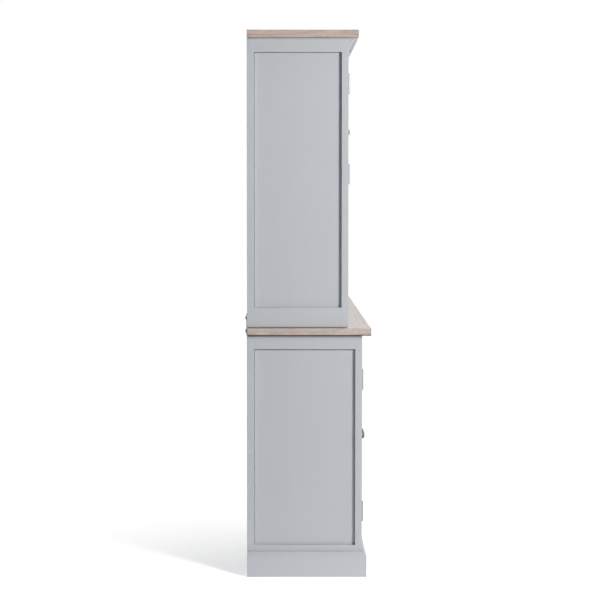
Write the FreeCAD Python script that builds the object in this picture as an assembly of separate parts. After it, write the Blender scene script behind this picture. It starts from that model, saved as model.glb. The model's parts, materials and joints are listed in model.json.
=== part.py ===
import FreeCAD, Part
import math
import os
from collections import namedtuple

Vector = FreeCAD.Vector

# Step back cupboard: a shallow hutch standing on a deeper base, in millimetres.
# X runs along the front, the front faces -Y, Z is up from the floor.

# Overall sizes
overall_height = 2000.0
board_width = 1700.0
board_thickness = 27.0
board_edge_radius = 2.0
side_overhang = 18.0
worktop_height = 915.0
worktop_overhang = 32.0
base_depth = 422.0
hutch_depth = 371.0
top_overhang = 36.0

# Plinth boards and cornice moulding
plinth_height = 91.0
plinth_thickness = 17.0
plinth_slope_depth = 9.0
plinth_slope_height = 14.0
cornice_margin = 7.0
cornice_reveal = 4.0
cornice_lip = 8.0
cornice_foot = 6.0
cove_bulge_share = 0.2

# Face frames: posts and rails seen from the front
face_thickness = 25.0
end_stile_width = 45.0
centre_stile_width = 70.0
base_top_rail_height = 51.0
bottom_rail_reveal = 23.0
hutch_top_rail_height = 52.0
middle_rail_height = 45.5
recess_height = 406.0
tenon_length = 20.0
tenon_thickness = 9.0
tenon_shoulder = 8.0

# Side frames with their recessed panels
frame_thickness = 32.0
back_post_depth = 27.0
hutch_bottom_rail_height = 74.0
panel_thickness = 9.0
panel_recess = 11.0
panel_tongue = 5.0
panel_quirk = 1.5
base_panel_drop = 3.0
hutch_panel_drop = 1.5
groove_depth = 9.0
panel_play = 1.0
shadow_line_height = 3.5
shadow_line_depth = 9.0

# Inner boards
inner_board_thickness = 18.0
shelf_setback = 25.0
base_shelf_share = 0.475
hutch_shelf_share = 0.46
bearer_height = 25.0
bearer_reach = 15.0
back_board_thickness = 10.0
back_board_count = 12
back_rebate_width = 10.0
tongue_thickness = 3.5
tongue_length = 5.0
joint_chamfer = 2.0

# Doors
door_thickness = 22.0
door_gap = 2.5
door_stile_width = 60.0
door_top_rail_height = 60.0
door_bottom_rail_height = 78.0
door_panel_recess = 8.0
glass_thickness = 4.0
glass_rebate = 9.0
bead_depth = 8.0
bead_chamfer = 3.0
door_tenon_thickness = 4.5

# Butt hinges
hinge_height = 76.0
base_hinge_share = 0.1063
hutch_hinge_share = 0.1303
leaf_width = 19.0
leaf_thickness = 1.5
barrel_radius = 3.3
barrel_stand = 3.6
barrel_sides = 10
knuckle_count = 3
knuckle_gap = 0.3
pin_radius = 1.5
pin_clearance = 0.05

# Knobs and catches
base_knob_diameter = 30.0
base_knob_reach = 32.0
base_knob_height = 456.0
hutch_knob_diameter = 24.0
hutch_knob_reach = 23.0
hutch_knob_share = 0.506
knob_inset = 28.0
knob_radius_shares = (0.62, 0.62, 0.38, 0.38, 1.0, 1.0, 0.75, 0.35)
knob_rise_shares = (0.0, 0.08, 0.16, 0.42, 0.62, 0.78, 0.94, 1.0)
knob_sides = 16
catch_width = 40.0
catch_depth = 14.0
catch_rise = 20.0
catch_drop = 12.0
catch_inset = 55.0
catch_gap = 0.3

# Plates that tie the hutch to the worktop at the back
plate_width = 28.0
plate_height = 78.0
plate_thickness = 2.5
plate_margin = 15.0
plate_screw_radius = 2.2
plate_screw_length = 18.0
plate_screw_head_radius = 6.5
plate_screw_head_height = 3.5
plate_screw_sides = 12

# Planes that the pieces share
half_carcass = board_width / 2 - side_overhang
half_opening = half_carcass - end_stile_width
half_stile = centre_stile_width / 2
half_partition = inner_board_thickness / 2
back = (base_depth + worktop_overhang - plate_thickness - plate_screw_head_height) / 2
boards_front = back - back_board_thickness
base_front = back - base_depth
hutch_front = back - hutch_depth
worktop_under = worktop_height - board_thickness
top_under = overall_height - board_thickness
base_bottom_rail_height = plinth_height + bottom_rail_reveal
middle_rail_under = worktop_height + recess_height
middle_rail_top = middle_rail_under + middle_rail_height
panel_outer = half_carcass - panel_recess
panel_inner = panel_outer - panel_thickness
frame_inner = half_carcass - frame_thickness
tongue_reach = groove_depth - panel_play
door_width = (half_opening - half_stile - 3 * door_gap) / 2

Tier = namedtuple("Tier", "name front low high hinge_share knob_height knob_diameter knob_reach glazed")
base_tier = Tier("base", base_front, base_bottom_rail_height + door_gap,
                 worktop_under - base_top_rail_height - door_gap, base_hinge_share,
                 base_knob_height, base_knob_diameter, base_knob_reach, False)
hutch_low = middle_rail_top + door_gap
hutch_high = top_under - hutch_top_rail_height - door_gap
hutch_tier = Tier("hutch", hutch_front, hutch_low, hutch_high, hutch_hinge_share,
                  hutch_low + hutch_knob_share * (hutch_high - hutch_low),
                  hutch_knob_diameter, hutch_knob_reach, True)

# A door hangs on one edge of its opening and reaches toward the meeting edge
Door = namedtuple("Door", "tier number edge toward")
hanging_edges = ((-half_opening, 1), (-half_stile, -1), (half_stile, 1), (half_opening, -1))
doors = [Door(tier, number + 1, edge, toward)
         for tier in (base_tier, hutch_tier)
         for number, (edge, toward) in enumerate(hanging_edges)]


def block(x, y, z):
    """Square-edged board between two bounds on each axis."""
    return Part.makeBox(x[1] - x[0], y[1] - y[0], z[1] - z[0], Vector(x[0], y[0], z[0]))


def centred(half):
    """Bounds of a length about the middle of the cupboard."""
    return (-half, half)


def widened(bounds, reach):
    """Bounds let out at both ends."""
    return (bounds[0] - reach, bounds[1] + reach)


def strip(edge, toward, near, far):
    """Bounds between two distances from an edge, measured one way or the other."""
    return tuple(sorted((edge + toward * near, edge + toward * far)))


def prism(points, along):
    """Straight length of a closed outline."""
    return Part.Face(Part.makePolygon(points + points[:1])).extrude(along)


def ring(centre, radius, across, up, sides):
    """Corners of a regular outline round a centre."""
    turns = [2 * math.pi * step / sides for step in range(sides)]
    return [centre + across * (radius * math.cos(turn)) + up * (radius * math.sin(turn)) for turn in turns]


def round_bar(radius, sides, start, along):
    """Faceted round bar that runs up or to the back."""
    across = Vector(1, 0, 0)
    up = Vector(0, 1, 0) if along.z else Vector(0, 0, 1)
    return prism(ring(start, radius, across, up, sides), along)


def joined(first, *others):
    """One solid out of pieces that are worked in a single length of material."""
    return first.fuse(list(others)).removeSplitter().Solids[0]


def trimmed(solid, *tools):
    """A solid with grooves, mortises or pockets taken out."""
    return solid.cut(list(tools)).Solids[0]


def save(name, solids):
    """Write the solids of one node."""
    Part.makeCompound(solids).exportStep(os.path.join("parts", name + ".step"))


def tenon(x, y, z):
    """Tongue of a face frame member, in the middle of its thickness."""
    middle = (y[0] + y[1]) / 2
    return block(x, (middle - tenon_thickness / 2, middle + tenon_thickness / 2), z)


def rail_tenons(front, z):
    """The two end tenons of a face frame rail."""
    y = (front, front + face_thickness)
    height = (z[0] + tenon_shoulder, z[1] - tenon_shoulder)
    return [tenon(strip(side * half_opening, side, 0, tenon_length), y, height) for side in (-1, 1)]


def stile_tenons(front, z):
    """The top and bottom tenons of a centre stile."""
    x = centred(half_stile - tenon_shoulder)
    y = (front, front + face_thickness)
    return [tenon(x, y, (z[0] - tenon_length, z[0])), tenon(x, y, (z[1], z[1] + tenon_length))]


def centre_stile(front, z, pockets):
    """Post between two pairs of doors, tenoned into the rails over and under it."""
    post = block(centred(half_stile), (front, front + face_thickness), z)
    return trimmed(joined(post, *stile_tenons(front, z)), *pockets)


def face_rail(front, z, mortises):
    """Rail of a face frame, tenoned into both end posts."""
    rail = block(centred(half_opening), (front, front + face_thickness), z)
    return trimmed(joined(rail, *rail_tenons(front, z)), *mortises)


def leaf_edge(door, on_door):
    """Edge that a hinge leaf is let into, and the way into the wood."""
    if on_door:
        return door.edge + door.toward * door_gap, door.toward
    return door.edge, -door.toward


def leaf_plate(door, z_low, on_door):
    """Flat of a hinge leaf, let in flush with the edge that it is screwed to."""
    edge, way = leaf_edge(door, on_door)
    y = (door.tier.front, door.tier.front + leaf_width)
    return block(strip(edge, way, 0, leaf_thickness), y, (z_low, z_low + hinge_height))


def hinge_levels(tier):
    """Lower ends of the two hinges of a door."""
    margin = tier.hinge_share * (tier.high - tier.low)
    return (tier.low + margin, tier.high - margin - hinge_height)


def frame_pockets(tier):
    """Pockets of all the hinge leaves in the face frame of a tier."""
    return [leaf_plate(door, z, False) for door in doors if door.tier is tier for z in hinge_levels(tier)]


def hinge_axis(door):
    """Plan position of a door's hinge pins."""
    return (door.edge + door.toward * door_gap / 2, door.tier.front - barrel_stand)


def hinge_leaf(door, z_low, on_door):
    """Hinge leaf with every other knuckle, bored for the pin."""
    x, y = hinge_axis(door)
    edge, way = leaf_edge(door, on_door)
    pitch = hinge_height / knuckle_count
    pieces = []
    for turn in range(1 if on_door else 0, knuckle_count, 2):
        low = z_low + turn * pitch + (knuckle_gap / 2 if turn > 0 else 0)
        high = z_low + (turn + 1) * pitch - (knuckle_gap / 2 if turn < knuckle_count - 1 else 0)
        pieces.append(round_bar(barrel_radius, barrel_sides, Vector(x, y, low), Vector(0, 0, high - low)))
        pieces.append(block(strip(edge, way, 0, leaf_thickness), (y, door.tier.front), (low, high)))
    bore_radius = (pin_radius + pin_clearance) / math.cos(math.pi / barrel_sides)
    bore = round_bar(bore_radius, barrel_sides, Vector(x, y, z_low), Vector(0, 0, hinge_height))
    return trimmed(joined(leaf_plate(door, z_low, on_door), *pieces), bore)


def hinge_pin(door, z_low):
    """Pin through all the knuckles of a hinge, flush with their ends."""
    x, y = hinge_axis(door)
    return round_bar(pin_radius, barrel_sides, Vector(x, y, z_low), Vector(0, 0, hinge_height))


Rail = namedtuple("Rail", "bounds groove stub")


def grooved_rails(z, bottom_height, top_height):
    """A bottom and a top rail: their bounds, panel groove and stub tenon."""
    low, high = z[0] + bottom_height, z[1] - top_height
    bottom = Rail((z[0], low), (low - groove_depth, low), (z[0], low - groove_depth))
    top = Rail((high, z[1]), (high, high + groove_depth), (high + groove_depth, z[1]))
    return bottom, top


def shadow_line(front, z):
    """Shallow rebates round the outside of a carcass, where it meets the worktop."""
    around = [block(strip(side * half_carcass, -side, 0, shadow_line_depth), (front, back), z)
              for side in (-1, 1)]
    return around + [block(centred(half_carcass), (front, front + shadow_line_depth), z)]


def rebated_panel(field, tongue):
    """Panel whose face stands proud of the tongue round its edges."""
    return joined(block(*field), block(*tongue))


def side_frame(side, front, z, rails, board_foot, cuts):
    """Two posts and two stub-tenoned rails round a groove for the side panel."""
    groove_x = strip(side * panel_inner, side, 0, panel_tongue)
    rail_x = strip(side * half_carcass, -side, 0, frame_thickness)
    rebate_x = strip(side * frame_inner, side, 0, back_rebate_width)
    stile_back = front + face_thickness
    post_front = back - back_post_depth
    between = (stile_back, post_front)
    stile = block(strip(side * half_carcass, -side, 0, end_stile_width), (front, stile_back), z)
    stile_groove = block(groove_x, (stile_back - groove_depth, stile_back), z)
    post = block(rail_x, (post_front, back), z)
    post_groove = block(groove_x, (post_front, post_front + groove_depth), z)
    rebate = block(rebate_x, (boards_front, back), (board_foot, z[1]))
    solids = [trimmed(stile, stile_groove, *cuts), trimmed(post, post_groove, rebate, *cuts)]
    for rail in rails:
        stub = block(groove_x, widened(between, tongue_reach), rail.stub)
        solids.append(trimmed(joined(block(rail_x, between, rail.bounds), stub),
                              block(groove_x, between, rail.groove), *cuts))
    return solids


def side_panel(side, front, z, drop):
    """Flat panel held in the grooves of its frame, standing on the bottom rail, clear of the top one."""
    y = (front + face_thickness, back - back_post_depth)
    field = (strip(side * panel_inner, side, 0, panel_thickness), widened(y, -panel_quirk),
             (z[0], z[1] - drop))
    tongue = (strip(side * panel_inner, side, 0, panel_tongue), widened(y, tongue_reach),
              widened(z, tongue_reach))
    return rebated_panel(field, tongue)


def back_boards(z):
    """Row of tongued boards between the rebates of the back posts, chamfered on both faces."""
    half_width = frame_inner + back_rebate_width
    pitch = 2 * half_width / back_board_count
    middle = (boards_front + back) / 2
    tongue = (middle - tongue_thickness / 2, middle + tongue_thickness / 2)
    boards = []
    for number in range(back_board_count):
        left = number * pitch - half_width
        right = left + pitch
        outline = [(left + joint_chamfer, boards_front), (right - joint_chamfer, boards_front),
                   (right, boards_front + joint_chamfer)]
        if number < back_board_count - 1:
            outline += [(right, tongue[0]), (right + tongue_length, tongue[0]),
                        (right + tongue_length, tongue[1]), (right, tongue[1])]
        outline += [(right, back - joint_chamfer), (right - joint_chamfer, back),
                    (left + joint_chamfer, back), (left, back - joint_chamfer)]
        if number > 0:
            depth = tongue_length + panel_play
            outline += [(left, tongue[1]), (left + depth, tongue[1]),
                        (left + depth, tongue[0]), (left, tongue[0])]
        outline.append((left, boards_front + joint_chamfer))
        points = [Vector(x, y, z[0]) for x, y in outline]
        boards.append(prism(points, Vector(0, 0, z[1] - z[0])))
    return boards


def side_bearer(side, front, top):
    """Batten between the posts of a side, under the end of a shelf or floor."""
    x = strip(side * panel_inner, -side, 0, panel_inner - frame_inner + bearer_reach)
    return block(x, (front + face_thickness, back - back_post_depth), (top - bearer_height, top))


def partition_bearer(side, front, top):
    """Batten on one face of the partition, under the other end of a shelf."""
    x = strip(side * half_partition, side, 0, bearer_reach)
    y = (front + face_thickness + shelf_setback, boards_front)
    return block(x, y, (top - bearer_height, top))


def shelf(side, front, under):
    """Shelf between a side and the partition."""
    x = strip(side * half_partition, side, 0, frame_inner - half_partition)
    y = (front + face_thickness + shelf_setback, boards_front)
    return block(x, y, (under, under + inner_board_thickness))


def oak_board(front, under):
    """Solid oak board with softened edges on the front and the ends."""
    board = block(centred(board_width / 2), (front, back), (under, under + board_thickness))
    edges = [edge for edge in board.Edges
             if edge.BoundBox.ZLength == 0 and edge.BoundBox.YMin < back - edge.BoundBox.YLength]
    return board.makeFillet(board_edge_radius, edges)


def plinth():
    """Front and side plinth boards, mitred at the front corners, with a sloped top edge."""
    outer_x = half_carcass + plinth_thickness
    outer_y = base_front - plinth_thickness
    shoulder = plinth_height - plinth_slope_height
    profile = ((0, 0), (plinth_thickness, 0), (plinth_thickness, shoulder),
               (plinth_thickness - plinth_slope_depth, plinth_height), (0, plinth_height))
    up = Vector(0, 0, plinth_height)
    front_plan = [Vector(-half_carcass, base_front, 0), Vector(half_carcass, base_front, 0),
                  Vector(outer_x, outer_y, 0), Vector(-outer_x, outer_y, 0)]
    front_bar = prism([Vector(-outer_x, base_front - out, z) for out, z in profile],
                      Vector(2 * outer_x, 0, 0))
    boards = [prism(front_plan, up).common(front_bar).Solids[0]]
    for side in (-1, 1):
        plan = [Vector(side * half_carcass, base_front, 0), Vector(side * outer_x, outer_y, 0),
                Vector(side * outer_x, back, 0), Vector(side * half_carcass, back, 0)]
        bar = prism([Vector(side * (half_carcass + out), outer_y, z) for out, z in profile],
                    Vector(0, back - outer_y, 0))
        boards.append(prism(plan, up).common(bar).Solids[0])
    return boards


def cornice():
    """Coved moulding in the corner between the top board and the hutch front."""
    depth = top_overhang - cornice_reveal
    low = top_under - hutch_top_rail_height + cornice_margin
    x = -half_carcass
    start = Vector(x, hutch_front - depth, top_under - cornice_lip)
    end = Vector(x, hutch_front - cornice_foot, low + cornice_lip)
    chord = end - start
    inward = Vector(0, chord.z, -chord.y) * -cove_bulge_share
    cove = Part.Arc(start, (start + end) / 2 + inward, end).toShape()
    corners = [end, Vector(x, hutch_front - cornice_foot, low), Vector(x, hutch_front, low),
               Vector(x, hutch_front, top_under), Vector(x, hutch_front - depth, top_under), start]
    outline = Part.Wire([cove] + Part.makePolygon(corners).Edges)
    return Part.Face(outline).extrude(Vector(2 * half_carcass, 0, 0))


def knob(door):
    """Turned metal knob with a foot, a neck and a domed head, on the meeting stile of its door."""
    tier = door.tier
    x = door.edge + door.toward * (door_gap + door_width - knob_inset)
    rings = []
    for radius_share, rise_share in zip(knob_radius_shares, knob_rise_shares):
        centre = Vector(x, tier.front - rise_share * tier.knob_reach, tier.knob_height)
        radius = radius_share * tier.knob_diameter / 2
        rings.append(ring(centre, radius, Vector(1, 0, 0), Vector(0, 0, 1), knob_sides))
    outlines = [rings[0], rings[-1]]
    for inner, outer in zip(rings, rings[1:]):
        for step in range(knob_sides):
            after = (step + 1) % knob_sides
            outlines.append([inner[step], inner[after], outer[after], outer[step]])
    faces = [Part.Face(Part.makePolygon(outline + outline[:1])) for outline in outlines]
    solid = Part.Solid(Part.makeShell(faces))
    return solid if solid.Volume > 0 else solid.reversed()


def door_spans(door):
    """Bounds of a door's two stiles and of the rails between them."""
    far = door_gap + door_width
    hinge_stile = strip(door.edge, door.toward, door_gap, door_gap + door_stile_width)
    meeting_stile = strip(door.edge, door.toward, far - door_stile_width, far)
    between = strip(door.edge, door.toward, door_gap + door_stile_width, far - door_stile_width)
    return hinge_stile, meeting_stile, between


def panelled_door(door):
    """Stub-tenoned frame with a flat panel in its groove."""
    tier = door.tier
    hinge_stile, meeting_stile, between = door_spans(door)
    bottom, top = grooved_rails((tier.low, tier.high), door_bottom_rail_height, door_top_rail_height)
    y = (tier.front, tier.front + door_thickness)
    panel_back = tier.front + door_panel_recess + panel_thickness
    groove_y = (panel_back - panel_tongue, panel_back)
    groove = block(widened(between, groove_depth), groove_y, (tier.low, tier.high))
    pockets = [leaf_plate(door, z, True) for z in hinge_levels(tier)]
    frame = [trimmed(block(stile, y, (tier.low, tier.high)), groove, *pockets)
             for stile in (hinge_stile, meeting_stile)]
    for rail in (bottom, top):
        stub = block(widened(between, tongue_reach), groove_y, rail.stub)
        frame.append(trimmed(joined(block(between, y, rail.bounds), stub),
                             block(between, groove_y, rail.groove)))
    panel_z = (bottom.bounds[1], top.bounds[0])
    field = (widened(between, -panel_quirk), (panel_back - panel_thickness, panel_back),
             widened(panel_z, -panel_quirk))
    tongue = (widened(between, tongue_reach), groove_y, widened(panel_z, tongue_reach))
    return frame, [rebated_panel(field, tongue)]


def glazed_door(door):
    """Rebated frame with a glass pane held by beads from inside."""
    tier = door.tier
    hinge_stile, meeting_stile, between = door_spans(door)
    bottom = (tier.low, tier.low + door_bottom_rail_height)
    top = (tier.high - door_top_rail_height, tier.high)
    door_back = tier.front + door_thickness
    bead_front = door_back - bead_depth
    glass_front = bead_front - glass_thickness
    y = (tier.front, door_back)
    sight_x = widened(between, glass_rebate)
    sight_z = widened((bottom[1], top[0]), glass_rebate)
    rebate = block(sight_x, (glass_front, door_back), sight_z)
    lip_middle = (tier.front + glass_front) / 2
    tenon_y = widened((lip_middle, lip_middle), door_tenon_thickness / 2)
    tenons = [block(widened(between, tenon_length), tenon_y, widened(rail, -tenon_shoulder))
              for rail in (bottom, top)]
    pockets = [leaf_plate(door, z, True) for z in hinge_levels(tier)]
    frame = [trimmed(block(stile, y, (tier.low, tier.high)), rebate, *tenons, *pockets)
             for stile in (hinge_stile, meeting_stile)]
    for rail, tongue in zip((bottom, top), tenons):
        frame.append(trimmed(joined(block(between, y, rail), tongue), rebate))
    frame += glazing_beads(sight_x, sight_z, bead_front, door_back)
    glass = block(widened(sight_x, -panel_play), (glass_front, bead_front), widened(sight_z, -panel_play))
    return frame, [glass]


def glazing_beads(x, z, front, rear):
    """Four mitred beads with a chamfered inner arris, round the back of a pane."""
    corners = [Vector(x[0], front, z[0]), Vector(x[1], front, z[0]),
               Vector(x[1], front, z[1]), Vector(x[0], front, z[1])]
    inward = [Vector(1, 0, 1), Vector(-1, 0, 1), Vector(-1, 0, -1), Vector(1, 0, -1)]
    depth = Vector(0, rear - front, 0)
    beads = []
    for number in range(len(corners)):
        after = (number + 1) % len(corners)
        plan = [corners[number], corners[after], corners[after] + inward[after] * glass_rebate,
                corners[number] + inward[number] * glass_rebate]
        across = (inward[number] + inward[after]) / 2
        inner = corners[number] + inward[number] * glass_rebate + depth
        run = plan[2] - plan[3]
        wedge = prism([inner, inner - across * bead_chamfer, inner - Vector(0, bead_chamfer, 0)], run)
        beads.append(trimmed(prism(plan, depth), wedge))
    return beads


def catch(door):
    """Magnetic catch behind the rail over a door, whose nose stops the door."""
    tier = door.tier
    rail_under = tier.high + door_gap
    rail_back = tier.front + face_thickness
    x = strip(door.edge, door.toward, door_gap + door_width - catch_inset - catch_width,
              door_gap + door_width - catch_inset)
    foot = rail_under - catch_drop
    body = block(x, (rail_back, rail_back + catch_depth), (foot, rail_under + catch_rise))
    nose = block(x, (tier.front + door_thickness + catch_gap, rail_back), (foot, rail_under))
    return joined(body, nose)


def plate_screw_levels():
    """Heights of the two screws of a joining plate."""
    high = worktop_under + plate_height - plate_margin
    return (worktop_under + plate_margin, high)


def plate_screw(side, z):
    """Flat-headed screw through a joining plate."""
    x = side * (half_carcass - frame_thickness / 2)
    rear = back + plate_thickness
    seat = Vector(x, rear, z)
    shank = round_bar(plate_screw_radius, plate_screw_sides, seat, Vector(0, -plate_screw_length, 0))
    head = round_bar(plate_screw_head_radius, plate_screw_sides, seat,
                     Vector(0, plate_screw_head_height, 0))
    return joined(shank, head)


def joining_plate(side):
    """Steel plate across the joint between the worktop and a hutch post."""
    x = side * (half_carcass - frame_thickness / 2)
    plate = block((x - plate_width / 2, x + plate_width / 2), (back, back + plate_thickness),
                  (worktop_under, worktop_under + plate_height))
    return trimmed(plate, *[plate_screw(side, z) for z in plate_screw_levels()])


os.makedirs("parts", exist_ok=True)

# Base carcass
base_z = (0, worktop_under)
base_rail_bounds = ((0, base_bottom_rail_height), (worktop_under - base_top_rail_height, worktop_under))
base_stile_z = (base_rail_bounds[0][1], base_rail_bounds[1][0])
base_stile_tenons = stile_tenons(base_front, base_stile_z)
base_mortises = [tongue for z in base_rail_bounds for tongue in rail_tenons(base_front, z)]
base_pockets = frame_pockets(base_tier)
base_shadow_line = shadow_line(base_front, (worktop_under - shadow_line_height, worktop_under))
base_floor_under = base_bottom_rail_height - inner_board_thickness
base_shelf_under = base_bottom_rail_height + base_shelf_share * (worktop_under - base_bottom_rail_height)
sides = {"left": -1, "right": 1}
base_rails = grooved_rails(base_z, base_bottom_rail_height, base_top_rail_height)
for word, side in sides.items():
    save("base_%s_frame" % word, side_frame(side, base_front, base_z, base_rails, base_floor_under,
                                            base_mortises + base_pockets + base_shadow_line))
save("base_side_panels", [side_panel(side, base_front, base_stile_z, base_panel_drop)
                          for side in sides.values()])
save("base_face_frame", [face_rail(base_front, z, base_stile_tenons + base_shadow_line)
                         for z in base_rail_bounds]
     + [centre_stile(base_front, base_stile_z, base_pockets)])
save("plinth", plinth())
inner_y = (base_front + face_thickness, boards_front)
base_inner_z = (base_bottom_rail_height, worktop_under)
save("base_floor", [block(centred(frame_inner), inner_y, (base_floor_under, base_bottom_rail_height))])
save("base_partition", [block(centred(half_partition), inner_y, base_inner_z)])
save("base_shelves", [shelf(side, base_front, base_shelf_under) for side in sides.values()])
save("base_bearers", [bearer(side, base_front, base_shelf_under)
                      for bearer in (side_bearer, partition_bearer) for side in sides.values()])
save("base_back_boards", back_boards((base_floor_under, worktop_under)))
plate_screws = [plate_screw(side, z) for side in sides.values() for z in plate_screw_levels()]
save("worktop", [trimmed(oak_board(base_front - worktop_overhang, worktop_under), *plate_screws)])

# Hutch carcass
hutch_z = (worktop_height, top_under)
hutch_rail_bounds = ((middle_rail_under, middle_rail_top), (top_under - hutch_top_rail_height, top_under))
hutch_stile_z = (hutch_rail_bounds[0][1], hutch_rail_bounds[1][0])
hutch_stile_tenons = stile_tenons(hutch_front, hutch_stile_z)
hutch_mortises = [tongue for z in hutch_rail_bounds for tongue in rail_tenons(hutch_front, z)]
hutch_pockets = frame_pockets(hutch_tier)
hutch_shadow_line = shadow_line(hutch_front, (worktop_height, worktop_height + shadow_line_height))
hutch_floor_under = middle_rail_top - inner_board_thickness
hutch_shelf_under = middle_rail_top + hutch_shelf_share * (top_under - middle_rail_top)
hutch_panel_z = (worktop_height + hutch_bottom_rail_height, top_under - hutch_top_rail_height)
hutch_rails = grooved_rails(hutch_z, hutch_bottom_rail_height, hutch_top_rail_height)
for word, side in sides.items():
    frame = side_frame(side, hutch_front, hutch_z, hutch_rails, worktop_height,
                       hutch_mortises + hutch_pockets + hutch_shadow_line)
    save("hutch_%s_frame" % word, [frame[0], trimmed(frame[1], *plate_screws)] + frame[2:])
save("hutch_side_panels", [side_panel(side, hutch_front, hutch_panel_z, hutch_panel_drop)
                           for side in sides.values()])
save("hutch_face_frame", [face_rail(hutch_front, z, hutch_stile_tenons) for z in hutch_rail_bounds]
     + [centre_stile(hutch_front, hutch_stile_z, hutch_pockets)])
inner_y = (hutch_front + face_thickness, boards_front)
save("hutch_floor", [block(centred(frame_inner), inner_y, (hutch_floor_under, middle_rail_top))])
save("hutch_partition", [block(centred(half_partition), inner_y, (middle_rail_top, top_under))])
save("hutch_shelves", [shelf(side, hutch_front, hutch_shelf_under) for side in sides.values()])
save("hutch_bearers", [side_bearer(side, hutch_front, hutch_floor_under) for side in sides.values()]
     + [bearer(side, hutch_front, hutch_shelf_under)
        for bearer in (side_bearer, partition_bearer) for side in sides.values()])
save("hutch_back_boards", back_boards((worktop_height, top_under)))
save("cornice", [cornice()])
save("top_board", [oak_board(hutch_front - top_overhang, top_under)])
save("joining_plates", [joining_plate(side) for side in sides.values()])
save("joining_screws", plate_screws)

# Doors and their fittings
for door in doors:
    name = "%s_door_%d" % (door.tier.name, door.number)
    frame, infill = glazed_door(door) if door.tier.glazed else panelled_door(door)
    save(name + "_frame", frame)
    save(name + ("_glass" if door.tier.glazed else "_panel"), infill)
    save(name + "_knob", [knob(door)])
    save(name + "_hinges", [hinge_leaf(door, z, True) for z in hinge_levels(door.tier)])
save("hinge_leaves", [hinge_leaf(door, z, False) for door in doors for z in hinge_levels(door.tier)])
save("hinge_pins", [hinge_pin(door, z) for door in doors for z in hinge_levels(door.tier)])
save("door_catches", [catch(door) for door in doors])
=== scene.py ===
import json
import math
import random

import bmesh
import bpy
from mathutils import Matrix, Vector


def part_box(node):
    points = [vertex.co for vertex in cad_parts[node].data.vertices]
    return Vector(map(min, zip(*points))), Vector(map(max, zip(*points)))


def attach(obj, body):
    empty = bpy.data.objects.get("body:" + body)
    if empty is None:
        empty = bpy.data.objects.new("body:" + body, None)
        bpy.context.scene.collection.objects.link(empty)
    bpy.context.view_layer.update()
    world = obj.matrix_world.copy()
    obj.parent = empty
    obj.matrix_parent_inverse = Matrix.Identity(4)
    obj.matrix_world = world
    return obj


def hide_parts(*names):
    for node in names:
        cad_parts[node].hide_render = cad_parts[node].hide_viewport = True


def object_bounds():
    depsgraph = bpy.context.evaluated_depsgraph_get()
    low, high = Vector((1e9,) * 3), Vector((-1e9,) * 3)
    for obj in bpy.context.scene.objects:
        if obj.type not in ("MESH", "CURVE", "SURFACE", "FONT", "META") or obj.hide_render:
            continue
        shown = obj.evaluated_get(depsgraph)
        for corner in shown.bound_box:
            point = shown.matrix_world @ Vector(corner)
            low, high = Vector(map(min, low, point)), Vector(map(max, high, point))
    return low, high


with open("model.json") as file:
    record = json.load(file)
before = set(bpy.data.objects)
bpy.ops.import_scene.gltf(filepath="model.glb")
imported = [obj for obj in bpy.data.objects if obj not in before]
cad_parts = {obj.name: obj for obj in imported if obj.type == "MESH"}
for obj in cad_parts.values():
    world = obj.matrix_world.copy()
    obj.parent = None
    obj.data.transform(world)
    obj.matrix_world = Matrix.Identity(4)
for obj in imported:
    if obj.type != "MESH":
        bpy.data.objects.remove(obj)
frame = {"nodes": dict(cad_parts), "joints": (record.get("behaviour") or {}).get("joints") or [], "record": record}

cad_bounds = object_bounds()


# Side frames of the base: on each side a front post, a back post and two rails, stub-tenoned
# round a groove. They are hardwood, the arrises rubbed down before two brushed coats of satin paint.

class Wire:
    """One output of a node, which adds Math nodes when it is reckoned with."""

    def __init__(self, nodes, socket):
        self.nodes = nodes
        self.socket = socket

    def other(self, output):
        """Another output of the same node."""
        return Wire(self.nodes, self.socket.node.outputs[output])

    def maths(self, operation, first, second):
        """A Math node on two values."""
        return self.nodes.node("ShaderNodeMath", {"operation": operation}, {0: first, 1: second})

    def __add__(self, other):
        return self.maths("ADD", self, other)

    def __sub__(self, other):
        return self.maths("SUBTRACT", self, other)

    def __rsub__(self, other):
        return self.maths("SUBTRACT", other, self)

    def __mul__(self, other):
        return self.maths("MULTIPLY", self, other)

    def __pow__(self, other):
        return self.maths("POWER", self, other)

    __radd__ = __add__
    __rmul__ = __mul__


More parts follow.
